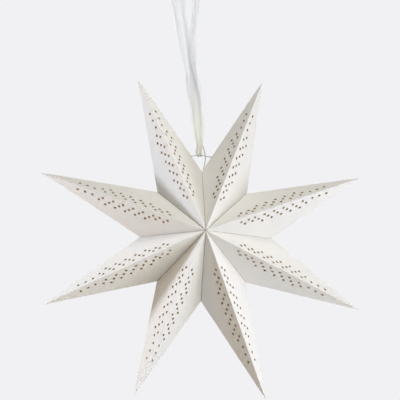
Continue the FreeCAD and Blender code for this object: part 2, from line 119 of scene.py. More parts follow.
def look_along(place, forward, up):
    """The matrix of a camera, or of a lamp, that looks along a direction."""
    back = -forward.normalized()
    right = up.cross(back).normalized()
    turn = Matrix((right, back.cross(right), back)).transposed().to_4x4()
    return Matrix.Translation(place) @ turn


camera = placed("camera", bpy.data.cameras.new("camera"))
camera.data.lens = camera_lens
camera.data.sensor_width = camera_sensor
camera.matrix_world = look_along(camera_place, camera_forward, camera_up)
bpy.context.scene.camera = camera
print("camera at", [round(c, 3) for c in camera_place])

# %% [markdown]
# ## A studio of soft lamps
#
# Folded card shows its shape by the difference between its faces. A large softbox above and in front lights
# every face a little. Two on the right make the faces that look right nearly white. A small cool one on the
# left stands in the plane of the star, so the ridges of rays 7 and 8 throw clear shadows on rays 6 and 1. Two
# such shadows tell where their lamp is: each gives a plane through a ridge and the shadow's edge, and the
# lamp is where the planes meet. A weak warm one lifts the lowest faces, and one behind shines through the
# ribbon. To find each lamp's power, the star can be rendered with one lamp at a time: light adds up, so the
# powers are then a sum that can be solved.
# What the camera sees behind the star is a plain pale colour. It is set by Light Path, so it lights nothing.

# %% Stage colours
backdrop_colour = (0.879, 0.879, 0.896, 1)
fill_colour = (1.0, 1.0, 1.0, 1)
fill_strength = 0.10
floor_drop = 0.62
floor_size = 12.0
floor_glow_share = 0.85


# %% Helpers for node trees
def node(tree, kind, inputs=None, **settings):
    """A node with its settings. An input is a value, a socket, or a node whose first output it takes."""
    made = tree.nodes.new(kind)
    for name, value in settings.items():
        setattr(made, name, value)
    for name, value in (inputs or {}).items():
        if isinstance(value, bpy.types.Node):
            value = next(socket for socket in value.outputs if socket.enabled)
        if isinstance(value, bpy.types.NodeSocket):
            tree.links.new(value, made.inputs[name])
        else:
            made.inputs[name].default_value = value
    return made


def math_node(tree, operation, *values):
    return node(tree, "ShaderNodeMath", dict(enumerate(values)), operation=operation)


def new_material(name):
    """An empty node material, with its tree."""
    material = bpy.data.materials.new(name)
    material.use_nodes = True
    material.node_tree.nodes.clear()
    return material, material.node_tree


def finished(material, shader):
    """The material, with its shader joined to an output."""
    node(material.node_tree, "ShaderNodeOutputMaterial", {"Surface": shader})
    print("material", material.name, "with", len(material.node_tree.nodes), "nodes")
    return material


def seen_directly(tree):
    """1 for camera, glossy and transmission rays, 0 for the rays that light the object."""
    path = tree.nodes.new("ShaderNodeLightPath").outputs
    first = math_node(tree, "MAXIMUM", path["Is Camera Ray"], path["Is Glossy Ray"])
    return math_node(tree, "MAXIMUM", first, path["Is Transmission Ray"])


def mixed_shader(tree, factor, first, second):
    return node(tree, "ShaderNodeMixShader", {"Fac": factor, 1: first, 2: second})


# %% World
world = bpy.data.worlds.new("studio")
bpy.context.scene.world = world
world.use_nodes = True
world_tree = world.node_tree
world_tree.nodes.clear()
fill = node(world_tree, "ShaderNodeBackground", {"Color": fill_colour, "Strength": fill_strength})
backdrop = node(world_tree, "ShaderNodeBackground", {"Color": backdrop_colour})
shown = mixed_shader(world_tree, seen_directly(world_tree), fill, backdrop)
node(world_tree, "ShaderNodeOutputWorld", {"Surface": shown})
print("world with", len(world_tree.nodes), "nodes")

# %% Lamps
lamps = (
    ("softbox_above", (0.10, -1.20, 1.40), (0.97, 1.0, 0.97), 1.0, 22.3),
    ("softbox_right", (1.256, -0.45, -0.336), (0.72, 0.77, 1.0), 0.7, 10.5),
    ("softbox_right_low", (1.13, -0.90, -0.65), (0.98, 1.0, 0.74), 0.9, 8.9),
    ("lamp_left", (-1.27, -0.02, 0.068), (0.80, 0.86, 1.0), 0.12, 11.6),
    ("lamp_left_low", (-1.065, -0.15, -0.746), (1.0, 0.60, 0.05), 0.4, 1.8),
    ("softbox_behind", (-0.20, 1.70, 0.70), (1.0, 1.0, 1.0), 1.2, 12.0),
)
for name, offset, colour, width, power in lamps:
    data = bpy.data.lights.new(name, "AREA")
    data.shape = "SQUARE"
    data.size = width
    data.energy = power
    data.color = colour
    lamp = placed(name, data)
    place = star_middle + Vector(offset)
    lamp.matrix_world = look_along(place, star_middle - place, Vector((0, 0, 1)))
    print(name, "at", [round(c, 2) for c in place], "power", power)

# %% Floor
floor_height = cad_low.z - floor_drop
half = floor_size / 2
floor_corners = [(x * half, y * half, floor_height) for x, y in ((-1, -1), (1, -1), (1, 1), (-1, 1))]
floor = placed("floor", new_mesh("floor", floor_corners, faces=[(0, 1, 2, 3)]))
floor_material, floor_tree = new_material("pale floor")
paint = node(floor_tree, "ShaderNodeBsdfDiffuse", {"Color": backdrop_colour})
glow = node(floor_tree, "ShaderNodeEmission", {"Color": backdrop_colour, "Strength": 1.0})
seen = math_node(floor_tree, "MULTIPLY", seen_directly(floor_tree), floor_glow_share)
floor.data.materials.append(finished(floor_material, mixed_shader(floor_tree, seen, paint, glow)))
print("floor at", round(floor_height, 3))

# %% [markdown]
# ## The cords
#
# Two cords meet above the top notch. A short stout one goes through the creases of rays 1 and 2 and is
# knotted inside them: it keeps the top seam shut and carries the star. A thin one comes from behind the
# ribbon, crosses the first and goes down through the notch to the lamp. Both are three strands laid together.
# A route of a few points becomes a smooth NURBS spline, and a Geometry Nodes tree sweeps a three-lobed
# section along it and turns it as it goes. A Bevel on the curve would be quicker, but it can't twist.

# %% Routes, in millimetres from the middle of the star
tie_cord_route = (
    (-27.3, 0, 142), (-18.8, 0, 142.3), (-10, 0, 146.4), (-2, 0, 146.4),
    (11.8, 0, 142.5), (20.3, 0, 142), (27.3, 0, 141.8),
)
lamp_cord_route = (
    (-3.0, 3.95, 177), (-0.6, 4.5, 168), (2.2, 4.8, 158.5), (4.5, 4.5, 150), (5.5, 3.7, 143.9),
    (4.9, 2.6, 134), (2.9, 1.3, 124), (0.5, 0.1, 114.5), (0, 0, 104.6), (0, 0, 94.6),
)
knot_height = 53.66
inner_cord_route = ((0, 0, 94.5), (0.2, 0.1, 84), (-0.2, -0.1, 74), (0.1, 0, 64), (0, 0, knot_height))
tie_cord_diameter = 2.5 * mm
lamp_cord_diameter = 1.5 * mm
spline_resolution = 14


def from_middle(place):
    """A point given in millimetres from the middle of the star."""
    return star_middle + Vector(place) * mm


def spline_line(name, places, closed=False):
    """The points along the smooth NURBS spline of a route, in metres."""
    curve = bpy.data.curves.new(name, "CURVE")
    curve.dimensions = "3D"
    curve.resolution_u = spline_resolution
    spline = curve.splines.new("NURBS")
    spline.points.add(len(places) - 1)
    for point, place in zip(spline.points, places):
        point.co = (*place, 1)
    spline.use_cyclic_u = closed
    spline.order_u = 3
    spline.use_endpoint_u = not closed
    route = placed(name, curve)
    line = [vertex.co.copy() for vertex in bpy.data.meshes.new_from_object(route).vertices]
    bpy.data.objects.remove(route)
    return line


def line_length(line):
    return sum((b - a).length for a, b in zip(line, line[1:]))


# %% Helpers for Geometry Nodes trees
def geometry_tree(name, inputs, output):
    """An empty tree with its inputs, given as (name, kind, default), and the sockets that read them."""
    tree = bpy.data.node_groups.new(name, "GeometryNodeTree")
    for label, kind, *default in inputs:
        socket = tree.interface.new_socket(label, in_out="INPUT", socket_type="NodeSocket" + kind)
        if default:
            socket.default_value = default[0]
    tree.interface.new_socket(output, in_out="OUTPUT", socket_type="NodeSocketGeometry")
    return tree, tree.nodes.new("NodeGroupInput").outputs


def stored(tree, geometry, name, value):
    """The geometry with a number stored on each of its points."""
    inputs = {"Geometry": geometry, "Name": name, "Value": value}
    return node(tree, "GeometryNodeStoreNamedAttribute", inputs, data_type="FLOAT", domain="POINT")


def finished_tree(tree, geometry, material):
    """The tree with its end: plain geometry that has its material."""
    plain = node(tree, "GeometryNodeRealizeInstances", {0: geometry})
    finish = node(tree, "GeometryNodeSetMaterial", {0: plain, "Material": material})
    node(tree, "NodeGroupOutput", {0: finish})
    print(tree.name, "tree with", len(tree.nodes), "nodes")
    return tree


# %% The twisted cord tree
strand_count = 3
section_points = 15
lobe_depth = 0.11
cord_pitch = 3.2


def stranded_section(tree, diameter):
    """A closed profile with a lobe for each strand, whose widest points lie on the cord's diameter."""
    circle = node(tree, "GeometryNodeCurvePrimitiveCircle", {"Resolution": section_points, "Radius": 0.5})
    around = tree.nodes.new("GeometryNodeSplineParameter")
    wave = math_node(tree, "COSINE", math_node(tree, "MULTIPLY", around, strand_count * tau))
    lobes = math_node(tree, "ADD", math_node(tree, "MULTIPLY", wave, lobe_depth), 1 - lobe_depth)
    place = tree.nodes.new("GeometryNodeInputPosition")
    scale = math_node(tree, "MULTIPLY", lobes, diameter)
    grown = node(tree, "ShaderNodeVectorMath", {0: place, "Scale": scale}, operation="SCALE")
    return node(tree, "GeometryNodeSetPosition", {"Geometry": circle, "Position": grown})


def twisted_cord_tree():
    tree, given = geometry_tree("Twisted Cord", (
        ("Route", "Geometry"), ("Cord Diameter", "Float", 2 * mm), ("Pitch", "Float", 6 * mm),
        ("Step", "Float", 0.45 * mm), ("Cord Finish", "Material"),
    ), "Cord")
    curve = node(tree, "GeometryNodeMeshToCurve", {"Mesh": given["Route"]})
    even = node(tree, "GeometryNodeResampleCurve", {"Curve": curve, "Length": given["Step"]}, mode="LENGTH")
    along = tree.nodes.new("GeometryNodeSplineParameter").outputs["Length"]
    turns = math_node(tree, "DIVIDE", along, given["Pitch"])
    twist = math_node(tree, "MULTIPLY", turns, tau)
    tilt = node(tree, "GeometryNodeSetCurveTilt", {"Curve": even, "Tilt": twist})
    sweep = node(tree, "GeometryNodeCurveToMesh", {
        "Curve": stored(tree, tilt, "cord_turns", turns), "Fill Caps": True,
        "Profile Curve": stranded_section(tree, given["Cord Diameter"]),
    })
    return finished_tree(tree, node(tree, "GeometryNodeSetShadeSmooth", {0: sweep}), given["Cord Finish"])


twisted_cord = twisted_cord_tree()


# %% Cords from the tree
def apply_modifiers(piece):
    """Turns what the modifiers make into the piece's own plain mesh, and removes them."""
    depsgraph = bpy.context.evaluated_depsgraph_get()
    depsgraph.update()
    mesh = bpy.data.meshes.new_from_object(piece.evaluated_get(depsgraph))
    piece.modifiers.clear()
    piece.data = mesh
    return piece


def run_tree(piece, tree, values):
    """Runs a tree on a piece. Its named inputs are set through each socket's identifier."""
    modifier = piece.modifiers.new(tree.name, "NODES")
    modifier.node_group = tree
    for item in tree.interface.items_tree:
        if item.item_type == "SOCKET" and item.in_out == "INPUT" and item.name in values:
            modifier[item.identifier] = values[item.name]
    return apply_modifiers(piece)


def laid_cord(name, line, diameter, material, closed=False):
    """A three-strand cord along a line of points."""
    edges = [(i, i + 1) for i in range(len(line) - 1)]
    if closed:
        edges.append((len(line) - 1, 0))
    values = {"Cord Diameter": diameter, "Pitch": diameter * cord_pitch, "Cord Finish": material}
    return run_tree(placed(name, new_mesh(name, line, edges)), twisted_cord, values)


# %% Helpers for materials
def object_place(tree):
    """Object coordinates, which stay with the piece when it moves."""
    return tree.nodes.new("ShaderNodeTexCoord").outputs["Object"]


def object_noise(tree, scale, detail):
    """A noise that stays with the piece."""
    return node(tree, "ShaderNodeTexNoise", {"Vector": object_place(tree), "Scale": scale, "Detail": detail})


def carried(tree, name):
    """A number that the points of the piece carry."""
    return node(tree, "ShaderNodeAttribute", attribute_name=name).outputs["Fac"]


def mixed_colour(tree, factor, first, second, blend="MIX"):
    """A colour that goes from the first to the second as the factor grows."""
    inputs = {"Factor": factor, "A": first, "B": second}
    return node(tree, "ShaderNodeMix", inputs, data_type="RGBA", blend_type=blend)


def bump(tree, height, strength, distance):
    """A bump that is read from a height, with its depth in metres."""
    return node(tree, "ShaderNodeBump", {"Height": height, "Strength": strength, "Distance": distance})


def principled(tree, colour, normal, roughness, metal=0.0, coat=0.0, sheen=0.0, specular=0.5):
    return node(tree, "ShaderNodeBsdfPrincipled", {
        "Base Color": colour, "Normal": normal, "Roughness": roughness, "Metallic": metal,
        "Coat Weight": coat, "Sheen Weight": sheen, "Specular IOR Level": specular,
    })


# %% Cord materials
tie_cord_colours = ((0.86, 0.85, 0.81, 1), (0.66, 0.645, 0.61, 1))
lamp_cord_colours = ((0.46, 0.455, 0.435, 1), (0.30, 0.295, 0.28, 1))
fibre_rate = 60.0
fibre_contrast = 0.12
fuzz_scale = 2600.0


def make_cord_material(name, pale, dark):
    """Dull fibres that lie along the strands: the colour goes between a pale and a darker tone, in fine bands
    along the cord and with noise.
    """
    material, tree = new_material(name)
    turn = math_node(tree, "MULTIPLY", carried(tree, "cord_turns"), fibre_rate)
    fibre = math_node(tree, "MULTIPLY", math_node(tree, "SINE", turn), fibre_contrast)
    mixed = math_node(tree, "ADD", object_noise(tree, fuzz_scale, 3), fibre)
    colour, normal = mixed_colour(tree, mixed, pale, dark), bump(tree, mixed, 0.5, 0.00008)
    return finished(material, principled(tree, colour, normal, 0.8, sheen=0.25))


tie_cord_material = make_cord_material("laid tie cord", *tie_cord_colours)
lamp_cord_material = make_cord_material("laid lamp cord", *lamp_cord_colours)

# %% The tie cord and its knots
knot_points = 24
tie_knot_size = 6 * mm
stopper_knot_size = 4.8 * mm


def knot_line(place, size, axis_turn):
    """The closed line of an overhand knot, drawn tight, about a place."""
    points = []
    for i in range(knot_points):
        t = tau * i / knot_points
        flat = Vector((sin(t) + 2 * sin(2 * t), cos(t) - 2 * cos(2 * t), -sin(3 * t)))
        points.append(place + (axis_turn @ flat) * (size / 6))
    return points


def knot(name, place, size, diameter, axis_turn, material):
    line = spline_line(name, knot_line(place, size - diameter, axis_turn), closed=True)
    return laid_cord(name, line, diameter, material, closed=True)


tie_line = spline_line("tie_route", [from_middle(p) for p in tie_cord_route])
tie_cord = laid_cord("tie_cord_strands", tie_line, tie_cord_diameter, tie_cord_material)
across_ray = Matrix.Rotation(radians(90), 3, "Y")
tie_knots = [
    knot(name, from_middle(place), tie_knot_size, tie_cord_diameter, across_ray, tie_cord_material)
    for name, place in (("tie_knot_1", tie_cord_route[0]), ("tie_knot_2", tie_cord_route[-1]))
]
for piece in (tie_cord, *tie_knots):
    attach(piece, "tie")
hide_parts("tie_cord")
print("tie cord", round(line_length(tie_line) / mm, 1), "mm")

# %% The lamp's cord, outside and inside
lamp_line = spline_line("lamp_route", [from_middle(p) for p in lamp_cord_route])
lamp_cord = laid_cord("lamp_cord_strands", lamp_line, lamp_cord_diameter, lamp_cord_material)
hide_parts("lamp_cord_top", "lamp_cord_outer")
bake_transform(lamp_cord)
inner_line = spline_line("inner_route", [from_middle(p) for p in inner_cord_route])
inner_cord = laid_cord("inner_cord_strands", inner_line, lamp_cord_diameter, lamp_cord_material)
stopper_knot = knot(
    "stopper_knot", from_middle((0, 0, knot_height)), stopper_knot_size, lamp_cord_diameter,
    Matrix.Identity(3), lamp_cord_material,
)
for piece in (inner_cord, stopper_knot):
    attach(piece, "lamp_line")
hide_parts("lamp_cord_inner")
for cord_name, line in (("outer", lamp_line), ("inner", inner_line)):
    print(cord_name, "lamp cord", round(line_length(line) / mm, 1), "mm")

# %% [markdown]
# ## The ribbon
#
# The ribbon is sheer off-white cloth, about 32 mm wide, that hangs lengthwise in soft pleats. It is one
# loop: up the front, over the hook, down behind and round under the tie cord. Its place and its visible width
# are given at stations along the loop. At each station the cross-section is a meander, whose direction swings
# as a sine along the cloth: the swing is turned up until the 32 mm of cloth is as narrow as it shows, so the
# cloth keeps its width wherever it is gathered. A cloth simulation would have to be told all of this anyway.

# %% Ribbon stations
cloth_width = 32 * mm
cloth_thickness = 0.14 * mm
pleat_count = 2
pleat_flatness = 0.46
strand_depth = 1.7
loop_radius = 18.5
loop_rise = 1.1
loop_width = 13.4
strand_close = 449
strand_close_reach = 40
hitch_centre = (-6.0, 146.0)
hitch_reach = 2.5
hitch_cloth_width = 9.6
pleat_skew = 0.5
pleat_phase = 0.6
pleat_drift = 2.2
drift_length = 190 * mm
wrinkles = ((70, 0.5), (190, 0.25))
wrinkle_height = 0.8 * mm

front_edges = (
    (158, -11.2, -0.4), (164, -11.4, 1.1), (180, -15.2, 0.8), (196, -18.2, 2.3), (210, -20.4, 3.1),
    (225, -21.8, 1.0), (245, -25.7, 1.2), (259, -28.9, -1.4), (272, -30.2, -5.2), (284, -31.0, -8.5),
    (297, -32.0, -11.6), (310, -35.0, -14.2), (326, -38.7, -17.0), (339, -42.0, -18.4), (353, -45.6, -22.3),
    (368, -49.5, -25.3), (383, -53.0, -28.3), (397, -55.5, -31.4), (412, -58.1, -31.5), (427, -61.0, -32.5),
    (438, -60.0, -37.0),
)
rear_edges = (
    (438, -20.5, -6.0), (428, -21.0, -7.2), (413, -20.6, -8.5), (398, -20.8, -11.3), (384, -22.0, -11.9),
    (369, -24.0, -13.8), (350, -27.0, -14.0), (330, -27.5, -13.0), (310, -26.5, -12.6), (285, -25.0, -10.5),
    (260, -22.0, -7.0), (235, -19.0, -4.0), (210, -16.0, -2.0), (185, -13.0, -1.0), (165, -11.5, -0.8),
    (157, -11.0, -1.2),
)
x_axis, y_axis, z_axis = Vector((1, 0, 0)), Vector((0, 1, 0)), Vector((0, 0, 1))


def strand_stations(edges, depth):
    """Stations of one strand: (place, across, width), with the cloth spread across the strand."""
    stations = []
    for level, left, right in edges:
        rest = min(1.0, (strand_close - level) / strand_close_reach)
        place = from_middle(((left + right) / 2, depth * rest, level))
        stations.append((place, -x_axis, (right - left) * mm))
    return stations


def loop_stations():
    """Over the hook: the cloth turns flat onto it and back again."""
    stations = []
    for degrees in range(0, 181, 30):
        angle = radians(degrees)
        out = Vector((-cos(angle), 0, sin(angle)))
        flat = sin(angle)
        side = out if degrees <= 90 else -out
        across = (side * cos(pi / 2 * flat) + y_axis * sin(pi / 2 * flat)).normalized()
        place = Vector((0, 0, -loop_radius)) * mm + out * (loop_radius + loop_rise * flat) * mm
        stations.append((place, across, loop_width * mm))
    return stations


def turn_stations():
    """Down behind the tie cord, round under it and up in front."""
    middle = from_middle((hitch_centre[0], 0, hitch_centre[1]))
    outs = [y_axis * cos(radians(a)) - z_axis * sin(radians(a)) for a in range(0, 181, 45)]
    return [(middle + out * hitch_reach * mm, -x_axis, hitch_cloth_width * mm) for out in outs]


ribbon_stations = (
    strand_stations(front_edges, -strand_depth) + loop_stations() + strand_stations(rear_edges, strand_depth)
    + turn_stations()
)
print("ribbon stations", len(ribbon_stations))


# %% The pleated cross-section
swing_samples = 64
swing_tries = 30
widest_swing = 2.35


def swing_width(swing):
    """How wide a meander of unit cloth is, for a swing of its direction in radians."""
    places = ((i + 0.5) / swing_samples for i in range(swing_samples))
    return sum(cos(swing * sin(tau * place)) for place in places) / swing_samples


def swing_for(share):
    """The swing that gathers the cloth to a share of its width."""
    low, high = 0.0, widest_swing
    for step in range(swing_tries):
        middle = (low + high) / 2
        if swing_width(middle) > share:
            low = middle
        else:
            high = middle
    return (low + high) / 2


def pleated_section(width, phase, samples):
    """Points (sideways, deep) of the cloth's cross-section, gathered to a width."""
    swing = swing_for(min(0.999, width / cloth_width))
    step = cloth_width / samples
    points = [(0.0, 0.0)]
    for i in range(samples):
        share = (i + 0.5) / samples
        skew = pleat_skew * sin(tau * share)
        direction = swing * sin(tau * pleat_count * share + phase + skew)
        x, y = points[-1]
        points.append((x + step * cos(direction), y + step * sin(direction) * pleat_flatness))
    low, high = min(x for x, y in points), max(x for x, y in points)
    mean_depth = sum(y for x, y in points) / len(points)
    fit = width / (high - low)
    return [((x - (low + high) / 2) * fit, y - mean_depth) for x, y in points]


# %% Between the stations
def smooth_between(stations, step):
    """More stations on smooth curves through the given ones, which form a closed loop."""
    count = len(stations)
    result = []
    for i in range(count):
        a, b, c, d = (stations[(i + k - 1) % count] for k in range(4))
        pieces = max(1, round((c[0] - b[0]).length / step))
        for j in range(pieces):
            t = j / pieces
            weights = (
                -t**3 / 2 + t**2 - t / 2, 3 * t**3 / 2 - 5 * t**2 / 2 + 1,
                -3 * t**3 / 2 + 2 * t**2 + t / 2, t**3 / 2 - t**2 / 2,
            )
            weighed = list(zip((a, b, c, d), weights))
            place = sum((s[0] * w for s, w in weighed), Vector())
            width = sum(s[2] * w for s, w in weighed)
            result.append((place, b[1].lerp(c[1], t).normalized(), width))
    return result


def ribbon_mesh(name, stations, samples):
    """The cloth as one closed band, with a UV map in metres: across the cloth, then along it."""
    count = len(stations)
    places = [s[0] for s in stations]
    onward = places[1:] + places[:1]
    travel = [0.0]
    for place, following in zip(places, onward):
        travel.append(travel[-1] + (following - place).length)
    vertices = []
    for i, (place, across, width) in enumerate(stations):
        along = (onward[i] - places[i - 1]).normalized()
        facing = along.cross(across).normalized()
        across = facing.cross(along)
        drift = sin(pi * travel[i] / travel[-1]) ** 2
        phase = pleat_phase + pleat_drift * drift * sin(tau * travel[i] / drift_length)
        for sideways, deep in pleated_section(width, phase, samples):
            point = place + across * sideways + facing * deep
            wrinkle = sum(noise.noise(point * scale) * share for scale, share in wrinkles)
            vertices.append(point + facing * (wrinkle * wrinkle_height))
    wide = samples + 1
    faces, uvs = [], []
    for i in range(count):
        low, high = i * wide, (i + 1) % count * wide
        for j in range(samples):
            faces.append((low + j, low + j + 1, high + j + 1, high + j))
            u, v = j / samples * cloth_width, (j + 1) / samples * cloth_width
            uvs += [u, travel[i], v, travel[i], v, travel[i + 1], u, travel[i + 1]]
    mesh = new_mesh(name, vertices, faces=faces)
    mesh.uv_layers.new(name="cloth").data.foreach_set("uv", uvs)
    mesh.shade_smooth()
    return mesh, travel[-1]


# %% Helpers for the ribbon's material
def object_height(tree):
    """The height on the piece."""
    return node(tree, "ShaderNodeSeparateXYZ", {0: object_place(tree)}).outputs["Z"]


def soft_step(tree, value, low, high):
    """0 below the low value and 1 above the high one, with a soft change between them."""
    inputs = {"Value": value, "From Min": low, "From Max": high}
    return node(tree, "ShaderNodeMapRange", inputs, interpolation_type="SMOOTHSTEP")


def with_glow(tree, surface, colour, share):
    """A surface that lets a share of the light through, scattered."""
    return mixed_shader(tree, share, surface, node(tree, "ShaderNodeBsdfTranslucent", {"Color": colour}))


# %% Ribbon material
ribbon_colour = (0.81, 0.81, 0.815, 1)
ribbon_shade = (0.775, 0.775, 0.78, 1)
ribbon_glow = (0.83, 0.83, 0.835, 1)
# The gathered colour lower down is partly the layered cloth, partly painted warm shade.
gathered_and_painted_warm_colour = (0.935, 0.93, 0.90, 1)
ribbon_glow_share = 0.6
ribbon_gap_share = 0.22
gathered_and_painted_levels = (-310 * mm, -170 * mm)
gathered_gap_share = 0.6
thread_step = 0.42 * mm
slub_scale = 240.0
weave_top, weave_mean = 1.6, 0.85


def make_ribbon_material():
    """A plain open weave: threads both ways on the cloth's own UV map, and gaps that let the wall show."""
    material, tree = new_material("sheer ribbon")
    cloth = node(tree, "ShaderNodeUVMap", uv_map="cloth")
    split = node(tree, "ShaderNodeSeparateXYZ", {0: cloth}).outputs
    threads = []
    for axis in ("X", "Y"):
        wave = math_node(tree, "SINE", math_node(tree, "MULTIPLY", split[axis], tau / thread_step))
        threads.append(math_node(tree, "MULTIPLY", math_node(tree, "ADD", wave, 1.0), 0.5))
    weave = math_node(tree, "MAXIMUM", *threads)
    # Lower down, where the cloth is gathered, the weave has fewer gaps, and the colour grades by height to a
    # lighter, warmer tone: partly the layered cloth, partly painted warm shade.
    loose_and_painted_grade = soft_step(tree, object_height(tree), *gathered_and_painted_levels)
    yarn = mixed_colour(tree, object_noise(tree, slub_scale, 4), ribbon_colour, ribbon_shade)
    colour = mixed_colour(tree, loose_and_painted_grade, gathered_and_painted_warm_colour, yarn)
    surface = principled(tree, colour, bump(tree, weave, 0.3, 0.00004), 0.7, sheen=0.3)
    glow = mixed_colour(tree, loose_and_painted_grade, gathered_and_painted_warm_colour, ribbon_glow)
    cloth_shader = with_glow(tree, surface, glow, ribbon_glow_share)
    looseness = math_node(tree, "MULTIPLY", loose_and_painted_grade, 1 - gathered_gap_share)
    looseness = math_node(tree, "ADD", looseness, gathered_gap_share)
    thin = math_node(tree, "SUBTRACT", weave_top, weave)
    weave_gaps = math_node(tree, "MULTIPLY", thin, ribbon_gap_share / weave_mean)
    open_share = math_node(tree, "MULTIPLY", weave_gaps, looseness)
    gaps = tree.nodes.new("ShaderNodeBsdfTransparent")
    return finished(material, mixed_shader(tree, open_share, cloth_shader, gaps))


ribbon_material = make_ribbon_material()

# %% The gathered hitch
# The cloth is drawn tight where it holds the tie cord: many layers side by side, so nothing shows through.
hitch_sections = (
    (166.0, -7.4, -3.6, 1.0), (162.0, -9.6, -1.8, 3.0), (158.0, -11.0, -0.8, 5.0), (154.0, -11.9, -0.7, 6.4),
    (151.0, -12.6, -1.0, 6.8), (149.0, -12.4, -1.3, 6.4), (147.4, -10.0, -1.6, 5.6), (145.8, -7.6, -1.9, 4.8),
    (144.4, -6.6, -2.4, 3.6), (143.6, -5.8, -3.0, 1.6),
)
flute_count = 11
flute_depth = 0.3
hitch_sides = 132
# The hitch's warm beige colours are painted warm shade on the layered cloth.
hitch_painted_warm_colour = (0.95, 0.93, 0.88, 1)
hitch_painted_warm_second = (0.90, 0.875, 0.82, 1)
hitch_glow_share = 0.5
hitch_wander = 2.2
wander_scale, wander_climb = 1.5, 0.05


def hitch_mesh(name):
    """A closed bundle with upright flutes, like cloth drawn together."""
    vertices = []
    for level, left, right, deep in hitch_sections:
        for i in range(hitch_sides):
            angle = tau * i / hitch_sides
            place = (cos(angle) * wander_scale, sin(angle) * wander_scale, level * wander_climb)
            wander = noise.noise(Vector(place)) * hitch_wander
            flute = abs(sin(flute_count * angle / 2 + wander)) - 0.5
            x = (left + right) / 2 + cos(angle) * ((right - left) / 2 + flute * flute_depth)
            y = sin(angle) * (deep / 2 + flute * flute_depth)
            vertices.append(from_middle((x, y, level)))
    top = len(vertices)
    last = top - hitch_sides
    sides = [(i, (i + 1) % hitch_sides) for i in range(hitch_sides)]
    faces = [
        (low + i, low + hitch_sides + i, low + hitch_sides + j, low + j)
        for low in range(0, last, hitch_sides) for i, j in sides
    ]
    for level, left, right, deep in (hitch_sections[0], hitch_sections[-1]):
        vertices.append(from_middle(((left + right) / 2, 0, level)))
    for i, j in sides:
        faces += [(top, i, j), (top + 1, last + j, last + i)]
    mesh = new_mesh(name, vertices, faces=faces)
    mesh.shade_smooth()
    return mesh


def make_hitch_material():
    """Many layers of the cloth on each other: no gaps left. Their warm beige tone is painted warm shade."""
    material, tree = new_material("gathered ribbon")
    cloth = object_noise(tree, 500.0, 4)
    colour = mixed_colour(tree, cloth, hitch_painted_warm_colour, hitch_painted_warm_second)
    surface = principled(tree, colour, bump(tree, cloth, 0.4, 0.0002), 0.75, sheen=0.3)
    return finished(material, with_glow(tree, surface, hitch_painted_warm_colour, hitch_glow_share))


# %% Make the ribbon and its hitch
ribbon_samples = 60
ribbon_step = 3 * mm
all_stations = smooth_between(ribbon_stations, ribbon_step)
cloth_mesh, cloth_length = ribbon_mesh("ribbon_loop", all_stations, ribbon_samples)
ribbon = placed("ribbon_loop", cloth_mesh)
ribbon.data.materials.append(ribbon_material)
cloth = ribbon.modifiers.new("cloth", "SOLIDIFY")
cloth.thickness = cloth_thickness
cloth.offset = 0
apply_modifiers(ribbon)
hitch = placed("ribbon_hitch", hitch_mesh("ribbon_hitch"))
hitch.data.materials.append(make_hitch_material())
rounder = hitch.modifiers.new("rounder", "SUBSURF")
rounder.levels = rounder.render_levels = 1
apply_modifiers(hitch)
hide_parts("hanging_ribbon")
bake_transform(ribbon)
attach(hitch, "tie")
print("ribbon", round(cloth_width / mm), "by", round(cloth_length / mm), "mm")

# %% [markdown]
# ## The card
#
# The star is heavy white card, matt on both sides, that lets a little light through. Diffuse light that
# bounces between two such faces turns warm, so the colour is a very light cream and not pure white. The
# shader mixes a rough Principled surface with a small share of Translucent. Two noises in Object
# coordinates give the fibres: a fine one for bump and a wide one for a faint unevenness of tone.

# %% Card material
card_colour = (0.905, 0.885, 0.855, 1)
card_shade = (0.875, 0.85, 0.815, 1)
card_glow_colour = (0.95, 0.78, 0.55, 1)
# A dark rim and a warm brown halo round each hole: partly the laser's scorch, partly painted shade and warm
# light from inside the star.
toast_and_painted_halo_colour = (0.62, 0.42, 0.22, 1)
char_and_painted_shade_colour = (0.20, 0.11, 0.05, 1)
toast_and_painted_halo_reach = (1.98 * mm, 3.1 * mm)
card_glow_share = 0.18
# Shade is painted in a brown line along the valley seams, with this colour and reach.
seam_painted_shade_colour = (0.68, 0.60, 0.50, 1)
seam_painted_shade_reach = (0.1 * mm, 1.1 * mm)
fibre_scale = 900.0
mottle_scale = 38.0
white = (1, 1, 1, 1)


def make_card_material():
    material, tree = new_material("white card")
    paper = mixed_colour(tree, object_noise(tree, mottle_scale, 3), card_colour, card_shade)
    from_hole = carried(tree, "hole_distance")
    # Round each hole: partly scorch, partly painted shade at the rim and painted warm light in the halo.
    toasted_and_painted_halo = mixed_colour(tree, soft_step(tree, from_hole, *toast_and_painted_halo_reach), toast_and_painted_halo_colour, white)
    char_and_painted_shade_mask = math_node(tree, "LESS_THAN", from_hole, toast_and_painted_halo_reach[0])
    edge = mixed_colour(tree, char_and_painted_shade_mask, white, char_and_painted_shade_colour)
    # Painted shade: a brown line along the valley seams, where the rays meet.
    seam_shade_fade = soft_step(tree, carried(tree, "seam_distance"), *seam_painted_shade_reach)
    painted_seam_shade = mixed_colour(tree, seam_shade_fade, seam_painted_shade_colour, white)
    paper_with_painted_seam_shade = mixed_colour(tree, 1.0, paper, painted_seam_shade, "MULTIPLY")
    scorch_and_painted_rim = mixed_colour(tree, 1.0, toasted_and_painted_halo, edge, "MULTIPLY")
    colour = mixed_colour(tree, 1.0, paper_with_painted_seam_shade, scorch_and_painted_rim, "MULTIPLY")
    normal = bump(tree, object_noise(tree, fibre_scale, 4), 0.2, 0.00003)
    surface = principled(tree, colour, normal, 0.85, specular=0.25)
    return finished(material, with_glow(tree, surface, card_glow_colour, card_glow_share))


card_material = make_card_material()

